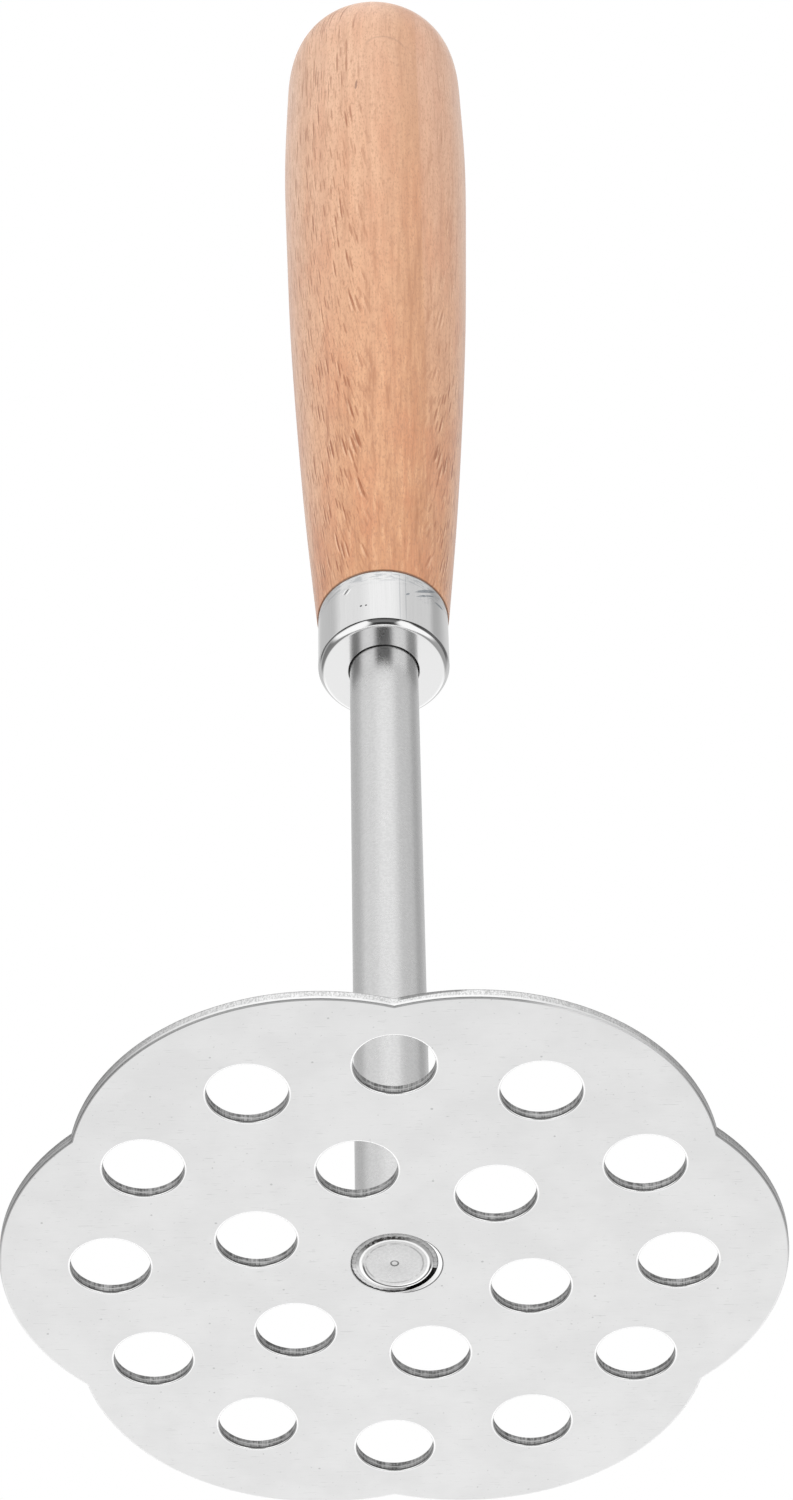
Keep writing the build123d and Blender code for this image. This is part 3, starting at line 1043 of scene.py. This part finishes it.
class MASHER_OT_weld(bpy.types.Operator):
    """Lay the weld beads round the bar's foot"""
    bl_idname = "masher.weld"
    bl_label = "Weld"

    def execute(self, context):
        s = context.scene.masher_weld
        plate_thickness = context.scene.masher_plate.thickness
        gap = context.scene.masher_plate.bar_gap
        bar_radius = context.scene.masher_bar.radius
        start = s.open_middle + s.open_angle / 2
        sweep = 2 * math.pi - s.open_angle
        end_taper = math.radians(7)
        bead_middle = 0.8 * MM
        overlap = 0.04 * MM
        root_depth = 0.1 * MM
        bead_angles = whole_turn(16)
        belly_angles = [math.pi / 2 * i / 10 for i in range(11)]

        def flattened(share):
            return math.copysign(abs(share) ** 0.5, share)

        def bead_section(turn):
            gone = min(turn - start, start + sweep - turn) / end_taper
            size = math.sqrt(max(0, 1 - (1 - min(1, gone)) ** 2)) * 0.85 + 0.15
            front_share = max(0, -math.sin(turn + math.radians(20)))
            full_half = s.bead_width / 2 * (1 + 0.3 * front_share)
            middle = bar_radius + gap - full_half + overlap
            half_width = full_half * size + ripple(turn, 41, 0.015 * MM)
            half_height = (bead_middle - s.bead_crest) * size + ripple(turn, 37, 0.02 * MM)
            return [(middle + half_width * flattened(math.cos(a)),
                     bead_middle + half_height * flattened(math.sin(a))) for a in bead_angles]

        def fillet_section(turn):
            toe = bar_radius + s.fillet_leg * 0.96 + ripple(turn, 34, 0.03 * MM)
            crest = plate_thickness + s.fillet_leg * 0.95 + ripple(turn, 34, 0.025 * MM)
            belly = [(bar_radius + (toe - bar_radius) * (1 - math.sin(a)) ** 1.05,
                      plate_thickness + (crest - plate_thickness) * (1 - math.cos(a)) ** 1.05)
                     for a in belly_angles]
            root = (bar_radius - root_depth, plate_thickness - root_depth)
            return [root, (toe, plate_thickness - root_depth), *belly, (bar_radius - root_depth, crest)]

        bead_steps, fillet_steps = 300, 360
        bead_turns = [start + sweep * i / bead_steps for i in range(bead_steps + 1)]
        build = bmesh.new()
        weld_ring(build, bead_turns, bead_section, False)
        weld_ring(build, whole_turn(fillet_steps), fillet_section, True)
        finish_piece("weld_beads", build, weld_material(s), "weld")
        return {"FINISHED"}


class MASHER_OT_glue(bpy.types.Operator):
    """Finish the set glue that the bar's tang sits in"""
    bl_idname = "masher.glue"
    bl_label = "Glue"

    def execute(self, context):
        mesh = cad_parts["adhesive"].data
        mesh.materials.clear()
        mesh.materials.append(glue_material())
        return {"FINISHED"}


def studio_world(s):
    """White to the camera, plain soft light on the object, and a light tent with dark gaps for the metal."""
    world = bpy.data.worlds.new("Light Tent")
    make = own_nodes(world)
    dx, dy, dz = make.axes(make.node("ShaderNodeTexCoord", output="Generated"))
    turn = dx.math("ARCTAN2", -dy) * math.degrees(1)
    away = abs(turn)

    # Above: brightest in front, dimmer on the right, and brighter still overhead
    side_level = make.blend(turn.step(-30, 45), 0.92, 0.76)
    above = make.blend(away.step(14, 48), 1.08, side_level)
    above = make.blend(away.step(110, 150), above, 0.76 - dx * 0.12)
    above = above * (1 + dz.step(0.78, 0.92) * 0.35)

    # Below: white soft boxes in front, either side of the dark place where the camera stands
    camera_place = abs(dx).step(0.4, 0.22) * dy.step(0.0, -0.3)
    camera_place = camera_place * dz.step(-0.9, -0.84)
    back_level = 0.99 + (dz + 0.72) * 0.5
    below = make.blend(away.step(100, 135), 1.13, back_level)
    below = make.blend(away.band(74, 92, 125, 152), below, 0.31 + dx * 0.1)
    below = make.blend(camera_place, below, 0.04)

    # Above the horizon, narrower dark seams between the tent's front and back sheets
    right_seam = turn.band(86, 102, 108, 148)
    left_seam = turn.band(-76, -104, -142, -165)
    above = make.blend(right_seam, above, 0.5)
    above = make.blend(left_seam, above, 0.62)
    level = make.blend(dz.step(-0.15, 0.1), below, above)

    # A low dark horizon in front, darkest in the middle
    low = make.blend(away.step(50, 115), -0.13, 0.1)
    low = make.blend(away.step(28, 14), low - turn.step(30, 60) * 0.12, -0.5)
    high = 0.25 + turn.step(15, 50) * 0.08
    horizon = (dz - low).step(-0.06, 0.03) * (dz - high).step(0.02, -0.03) * away.step(130, 112)
    dark = make.blend(away.step(45, 80), 0.04, 0.14) + dz.step(-0.1, -0.3) * 0.16
    level = make.blend(horizon, level, dark)
    seen = make.node("ShaderNodeLightPath", output="Is Camera Ray")
    through = make.node("ShaderNodeLightPath", output="Is Transmission Ray")
    mirrored = make.node("ShaderNodeLightPath", output="Is Glossy Ray")
    strength = make.blend(mirrored, s.plain_light, level)
    strength = make.blend(seen.math("MAXIMUM", through), strength, 1.0)
    background = make.node("ShaderNodeBackground", {"Color": (1.0, 1.0, 1.0), "Strength": strength})
    make.node("ShaderNodeOutputWorld", {"Surface": background})
    return world


def floor_material():
    """Pale and matt from above, and clear from below, where the camera looks up through it."""
    material, make, (x, y, _) = start_material("Pale Floor")
    matt = make.node("ShaderNodeBsdfDiffuse", {"Color": (0.9, 0.9, 0.9)})
    white = make.node("ShaderNodeEmission", {"Color": (1.0, 1.0, 1.0), "Strength": 1.0})
    far = from_axis(x, y).step(250, 1600)
    pale = make.node("ShaderNodeMixShader", {0: 0.5 + far * 0.5, 1: matt, 2: white})
    clear = make.node("ShaderNodeBsdfTransparent")
    under = make.node("ShaderNodeNewGeometry", output="Backfacing")
    surface = make.node("ShaderNodeMixShader", {0: under, 1: pale, 2: clear})
    make.node("ShaderNodeOutputMaterial", {"Surface": surface})
    return material


def soft_lamp(name, place, size, power):
    """A square soft box that faces the middle of the object and shows in no reflection."""
    data = bpy.data.lights.new(name, "AREA")
    data.size = size
    data.energy = power
    lamp = add_object(name, data)
    lamp.location = place
    aim = (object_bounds()[0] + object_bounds()[1]) / 2 - lamp.location
    lamp.rotation_euler = aim.to_track_quat("-Z", "Y").to_euler()
    lamp.visible_camera = False
    lamp.visible_glossy = False


class MASHER_OT_stage(bpy.types.Operator):
    """Set the floor, the soft light and the camera"""
    bl_idname = "masher.stage"
    bl_label = "Stage"

    def execute(self, context):
        s = context.scene.masher_stage
        build = bmesh.new()
        bmesh.ops.create_circle(build, cap_ends=True, segments=64, radius=s.floor_radius)
        floor_mesh = bpy.data.meshes.new("floor")
        build.to_mesh(floor_mesh)
        build.free()
        floor_gap = 0.05 * MM
        for vertex in floor_mesh.vertices:
            vertex.co.z = -floor_gap
        if floor_mesh.polygons[0].normal.z < 0:
            floor_mesh.flip_normals()
        floor_mesh.materials.append(floor_material())
        floor = add_object("floor", floor_mesh)
        floor.visible_diffuse = False
        floor.visible_glossy = False
        floor.visible_transmission = False
        floor.visible_shadow = False
        floor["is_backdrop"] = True

        soft_lamp("Front Left Lamp", (-0.7, -0.9, -0.35), 0.7, 3.8)
        soft_lamp("Front Right Lamp", (0.8, -0.9, 0.1), 0.7, 3.0)
        soft_lamp("Top Lamp", (-0.3, 0.2, 1.2), 0.6, 6.0)
        context.scene.world = studio_world(s)

        camera_data = bpy.data.cameras.new("Camera")
        camera_data.sensor_width = 36.0
        camera_data.lens = s.camera_lens
        camera_data.clip_start = 0.01
        camera_data.clip_end = 100.0
        camera = add_object("Camera", camera_data)
        camera.location = s.camera_place
        camera.rotation_euler = s.camera_turn
        context.scene.camera = camera
        context.scene.view_settings.view_transform = "Standard"
        return {"FINISHED"}


SETTINGS = {
    "masher_handle": (MasherHandleSettings, MASHER_OT_handle),
    "masher_ferrule": (MasherFerruleSettings, MASHER_OT_ferrule),
    "masher_bar": (MasherBarSettings, MASHER_OT_bar),
    "masher_plate": (MasherPlateSettings, MASHER_OT_plate),
    "masher_weld": (MasherWeldSettings, MASHER_OT_weld),
    "masher_stage": (MasherStageSettings, MASHER_OT_stage),
}


class MASHER_PT_panel(bpy.types.Panel):
    """The masher's pieces, with their sizes and colours"""
    bl_idname = "MASHER_PT_panel"
    bl_label = "Potato Masher"
    bl_space_type = "VIEW_3D"
    bl_region_type = "UI"
    bl_category = "Masher"

    def draw(self, context):
        for name, (settings, operator) in SETTINGS.items():
            box = self.layout.box()
            box.operator(operator.bl_idname)
            for key in settings.__annotations__:
                box.prop(getattr(context.scene, name), key)
        self.layout.operator(MASHER_OT_glue.bl_idname)


def register():
    for name, (settings, operator) in SETTINGS.items():
        bpy.utils.register_class(settings)
        bpy.utils.register_class(operator)
        setattr(bpy.types.Scene, name, PointerProperty(type=settings))
    bpy.utils.register_class(MASHER_OT_glue)
    bpy.utils.register_class(MASHER_PT_panel)


def unregister():
    bpy.utils.unregister_class(MASHER_PT_panel)
    bpy.utils.unregister_class(MASHER_OT_glue)
    for name, (settings, operator) in SETTINGS.items():
        delattr(bpy.types.Scene, name)
        bpy.utils.unregister_class(operator)
        bpy.utils.unregister_class(settings)


def main():
    register()
    bpy.ops.masher.handle()
    bpy.ops.masher.ferrule()
    bpy.ops.masher.bar()
    bpy.ops.masher.plate()
    bpy.ops.masher.weld()
    bpy.ops.masher.glue()
    bpy.ops.masher.stage()


if __name__ == "__main__":
    main()
